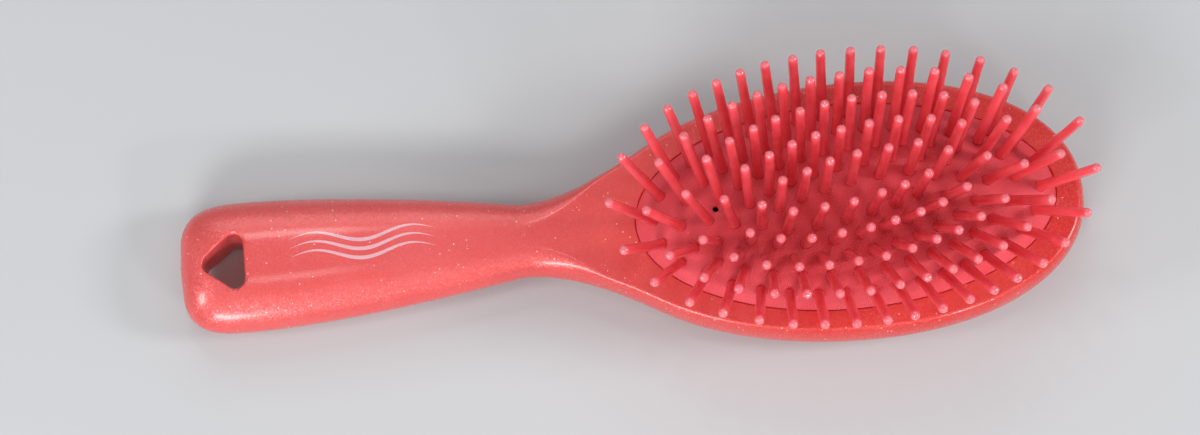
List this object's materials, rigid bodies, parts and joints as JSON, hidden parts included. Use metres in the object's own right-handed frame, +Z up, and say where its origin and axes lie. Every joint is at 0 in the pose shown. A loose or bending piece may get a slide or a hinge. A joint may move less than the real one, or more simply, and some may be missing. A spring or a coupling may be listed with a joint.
{
  "type": "paddle brush",
  "caption": "Hair brush with a one-piece plastic handle and oval head, an air-cushion rubber and long leaning pins in nested ovals.",
  "frame": {"origin": "middle of the whole brush's box, on the floor it rests on, under its back", "axes": "+X along the brush from the handle to the tip of the head, +Y across it, +Z up through the pins"},
  "size_m": [0.2053, 0.064, 0.0369],
  "materials": {
    "body_plastic": "glossy moulded plastic, coral pink with a fine pearl glitter",
    "cushion_rubber": "satin rubber, crimson, with a fine woven emboss",
    "pin_nylon": "translucent pink nylon, polished by the mould"
  },
  "bodies": {
    "root": {"handle_and_head": "body_plastic"},
    "cushion": {"cushion": "cushion_rubber"},
    "pins_ring1_1": {"pins_ring1_1": "pin_nylon"},
    "pins_ring1_2": {"pins_ring1_2": "pin_nylon"},
    "pins_ring1_3": {"pins_ring1_3": "pin_nylon"},
    "pins_ring1_4": {"pins_ring1_4": "pin_nylon"},
    "pins_ring1_5": {"pins_ring1_5": "pin_nylon"},
    "pins_ring1_6": {"pins_ring1_6": "pin_nylon"},
    "pins_ring1_7": {"pins_ring1_7": "pin_nylon"},
    "pins_ring1_8": {"pins_ring1_8": "pin_nylon"},
    "pins_ring1_9": {"pins_ring1_9": "pin_nylon"},
    "pins_ring2_1": {"pins_ring2_1": "pin_nylon"},
    "pins_ring2_2": {"pins_ring2_2": "pin_nylon"},
    "pins_ring2_3": {"pins_ring2_3": "pin_nylon"},
    "pins_ring2_4": {"pins_ring2_4": "pin_nylon"},
    "pins_ring2_5": {"pins_ring2_5": "pin_nylon"},
    "pins_ring2_6": {"pins_ring2_6": "pin_nylon"},
    "pins_ring2_7": {"pins_ring2_7": "pin_nylon"},
    "pins_ring3_1": {"pins_ring3_1": "pin_nylon"},
    "pins_ring3_2": {"pins_ring3_2": "pin_nylon"},
    "pins_ring3_3": {"pins_ring3_3": "pin_nylon"},
    "pins_ring3_4": {"pins_ring3_4": "pin_nylon"},
    "pins_ring3_5": {"pins_ring3_5": "pin_nylon"},
    "pins_ring4_1": {"pins_ring4_1": "pin_nylon"},
    "pins_ring4_2": {"pins_ring4_2": "pin_nylon"},
    "pins_ring4_3": {"pins_ring4_3": "pin_nylon"},
    "pins_ring4_4": {"pins_ring4_4": "pin_nylon"},
    "pins_ring5_1": {"pins_ring5_1": "pin_nylon"},
    "pins_ring5_2": {"pins_ring5_2": "pin_nylon"}
  },
  "joints": [
    {"name": "cushion_press", "type": "slide", "parent": "root", "child": "cushion", "axis": [0, 0, -1], "range_m": [0, 0.003], "stiffness_N_per_m": 2000, "deforming": ["cushion"]},
    {"name": "rock_ring1_1", "type": "hinge", "parent": "cushion", "child": "pins_ring1_1", "pos_m": [0.0086, 0.00684, 0.01418], "axis": [-0.6245, -0.781, 0], "range_deg": [-7, 7], "stiffness_Nm_per_rad": 0.02, "deforming": ["cushion"]},
    {"name": "rock_ring1_2", "type": "hinge", "parent": "cushion", "child": "pins_ring1_2", "pos_m": [0.02596, 0.0172, 0.01418], "axis": [-0.9577, -0.2878, 0], "range_deg": [-7, 7], "stiffness_Nm_per_rad": 0.02, "deforming": ["cushion"]},
    {"name": "rock_ring1_3", "type": "hinge", "parent": "cushion", "child": "pins_ring1_3", "pos_m": [0.0477, 0.02045, 0.01418], "axis": [-0.9998, -0.0208, 0], "range_deg": [-7, 7], "stiffness_Nm_per_rad": 0.02, "deforming": ["cushion"]},
    {"name": "rock_ring1_4", "type": "hinge", "parent": "cushion", "child": "pins_ring1_4", "pos_m": [0.07245, 0.01714, 0.01418], "axis": [-0.9535, 0.3015, 0], "range_deg": [-7, 7], "stiffness_Nm_per_rad": 0.02, "deforming": ["cushion"]},
    {"name": "rock_ring1_5", "type": "hinge", "parent": "cushion", "child": "pins_ring1_5", "pos_m": [0.08957, 0.00259, 0.01418], "axis": [-0.1811, 0.9835, 0], "range_deg": [-7, 7], "stiffness_Nm_per_rad": 0.02, "deforming": ["cushion"]},
    {"name": "rock_ring1_6", "type": "hinge", "parent": "cushion", "child": "pins_ring1_6", "pos_m": [0.0793, -0.01333, 0.01418], "axis": [0.8821, 0.4711, 0], "range_deg": [-7, 7], "stiffness_Nm_per_rad": 0.02, "deforming": ["cushion"]},
    {"name": "rock_ring1_7", "type": "hinge", "parent": "cushion", "child": "pins_ring1_7", "pos_m": [0.05949, -0.0195, 0.01418], "axis": [0.9888, 0.1495, 0], "range_deg": [-7, 7], "stiffness_Nm_per_rad": 0.02, "deforming": ["cushion"]},
    {"name": "rock_ring1_8", "type": "hinge", "parent": "cushion", "child": "pins_ring1_8", "pos_m": [0.03583, -0.01983, 0.01418], "axis": [0.9928, -0.1198, 0], "range_deg": [-7, 7], "stiffness_Nm_per_rad": 0.02, "deforming": ["cushion"]},
    {"name": "rock_ring1_9", "type": "hinge", "parent": "cushion", "child": "pins_ring1_9", "pos_m": [0.0122, -0.01156, 0.01418], "axis": [0.8026, -0.5965, 0], "range_deg": [-7, 7], "stiffness_Nm_per_rad": 0.02, "deforming": ["cushion"]},
    {"name": "rock_ring2_1", "type": "hinge", "parent": "cushion", "child": "pins_ring2_1", "pos_m": [0.01478, 0.00448, 0.01582], "axis": [-0.6608, -0.7506, 0], "range_deg": [-7, 7], "stiffness_Nm_per_rad": 0.02, "deforming": ["cushion"]},
    {"name": "rock_ring2_2", "type": "hinge", "parent": "cushion", "child": "pins_ring2_2", "pos_m": [0.03333, 0.01413, 0.01582], "axis": [-0.9709, -0.2395, 0], "range_deg": [-7, 7], "stiffness_Nm_per_rad": 0.02, "deforming": ["cushion"]},
    {"name": "rock_ring2_3", "type": "hinge", "parent": "cushion", "child": "pins_ring2_3", "pos_m": [0.0568, 0.01629, 0.01582], "axis": [-0.9987, 0.051, 0], "range_deg": [-7, 7], "stiffness_Nm_per_rad": 0.02, "deforming": ["cushion"]},
    {"name": "rock_ring2_4", "type": "hinge", "parent": "cushion", "child": "pins_ring2_4", "pos_m": [0.0809, 0.0064, 0.01582], "axis": [-0.5353, 0.8446, 0], "range_deg": [-7, 7], "stiffness_Nm_per_rad": 0.02, "deforming": ["cushion"]},
    {"name": "rock_ring2_5", "type": "hinge", "parent": "cushion", "child": "pins_ring2_5", "pos_m": [0.07255, -0.01066, 0.01582], "axis": [0.9094, 0.4159, 0], "range_deg": [-7, 7], "stiffness_Nm_per_rad": 0.02, "deforming": ["cushion"]},
    {"name": "rock_ring2_6", "type": "hinge", "parent": "cushion", "child": "pins_ring2_6", "pos_m": [0.0513, -0.01602, 0.01582], "axis": [0.9952, 0.0983, 0], "range_deg": [-7, 7], "stiffness_Nm_per_rad": 0.02, "deforming": ["cushion"]},
    {"name": "rock_ring2_7", "type": "hinge", "parent": "cushion", "child": "pins_ring2_7", "pos_m": [0.02349, -0.01299, 0.01582], "axis": [0.9373, -0.3486, 0], "range_deg": [-7, 7], "stiffness_Nm_per_rad": 0.02, "deforming": ["cushion"]},
    {"name": "rock_ring3_1", "type": "hinge", "parent": "cushion", "child": "pins_ring3_1", "pos_m": [0.02425, 0.00485, 0.0167], "axis": [-0.8344, -0.5512, 0], "range_deg": [-7, 7], "stiffness_Nm_per_rad": 0.02, "deforming": ["cushion"]},
    {"name": "rock_ring3_2", "type": "hinge", "parent": "cushion", "child": "pins_ring3_2", "pos_m": [0.0496, 0.01212, 0.0167], "axis": [-0.9973, -0.0738, 0], "range_deg": [-7, 7], "stiffness_Nm_per_rad": 0.02, "deforming": ["cushion"]},
    {"name": "rock_ring3_3", "type": "hinge", "parent": "cushion", "child": "pins_ring3_3", "pos_m": [0.07506, 0.00549, 0.0167], "axis": [-0.5126, 0.8586, 0], "range_deg": [-7, 7], "stiffness_Nm_per_rad": 0.02, "deforming": ["cushion"]},
    {"name": "rock_ring3_4", "type": "hinge", "parent": "cushion", "child": "pins_ring3_4", "pos_m": [0.06232, -0.00918, 0.0167], "axis": [0.9553, 0.2957, 0], "range_deg": [-7, 7], "stiffness_Nm_per_rad": 0.02, "deforming": ["cushion"]},
    {"name": "rock_ring3_5", "type": "hinge", "parent": "cushion", "child": "pins_ring3_5", "pos_m": [0.03154, -0.01107, 0.0167], "axis": [0.9813, -0.1925, 0], "range_deg": [-7, 7], "stiffness_Nm_per_rad": 0.02, "deforming": ["cushion"]},
    {"name": "rock_ring4_1", "type": "hinge", "parent": "cushion", "child": "pins_ring4_1", "pos_m": [0.03086, 0.00286, 0.01708], "axis": [-0.8826, -0.4702, 0], "range_deg": [-7, 7], "stiffness_Nm_per_rad": 0.02, "deforming": ["cushion"]},
    {"name": "rock_ring4_2", "type": "hinge", "parent": "cushion", "child": "pins_ring4_2", "pos_m": [0.05847, 0.0083, 0.01708], "axis": [-0.9994, 0.0338, 0], "range_deg": [-7, 7], "stiffness_Nm_per_rad": 0.02, "deforming": ["cushion"]},
    {"name": "rock_ring4_3", "type": "hinge", "parent": "cushion", "child": "pins_ring4_3", "pos_m": [0.06494, -0.00286, 0.01708], "axis": [0.8826, 0.4702, 0], "range_deg": [-7, 7], "stiffness_Nm_per_rad": 0.02, "deforming": ["cushion"]},
    {"name": "rock_ring4_4", "type": "hinge", "parent": "cushion", "child": "pins_ring4_4", "pos_m": [0.03733, -0.0083, 0.01708], "axis": [0.9994, -0.0338, 0], "range_deg": [-7, 7], "stiffness_Nm_per_rad": 0.02, "deforming": ["cushion"]},
    {"name": "rock_ring5_1", "type": "hinge", "parent": "cushion", "child": "pins_ring5_1", "pos_m": [0.04388, 0.0022, 0.01719], "axis": [-0.9647, -0.2635, 0], "range_deg": [-7, 7], "stiffness_Nm_per_rad": 0.02, "deforming": ["cushion"]},
    {"name": "rock_ring5_2", "type": "hinge", "parent": "cushion", "child": "pins_ring5_2", "pos_m": [0.05192, -0.0022, 0.01719], "axis": [0.9647, 0.2635, 0], "range_deg": [-7, 7], "stiffness_Nm_per_rad": 0.02, "deforming": ["cushion"]}
  ]
}
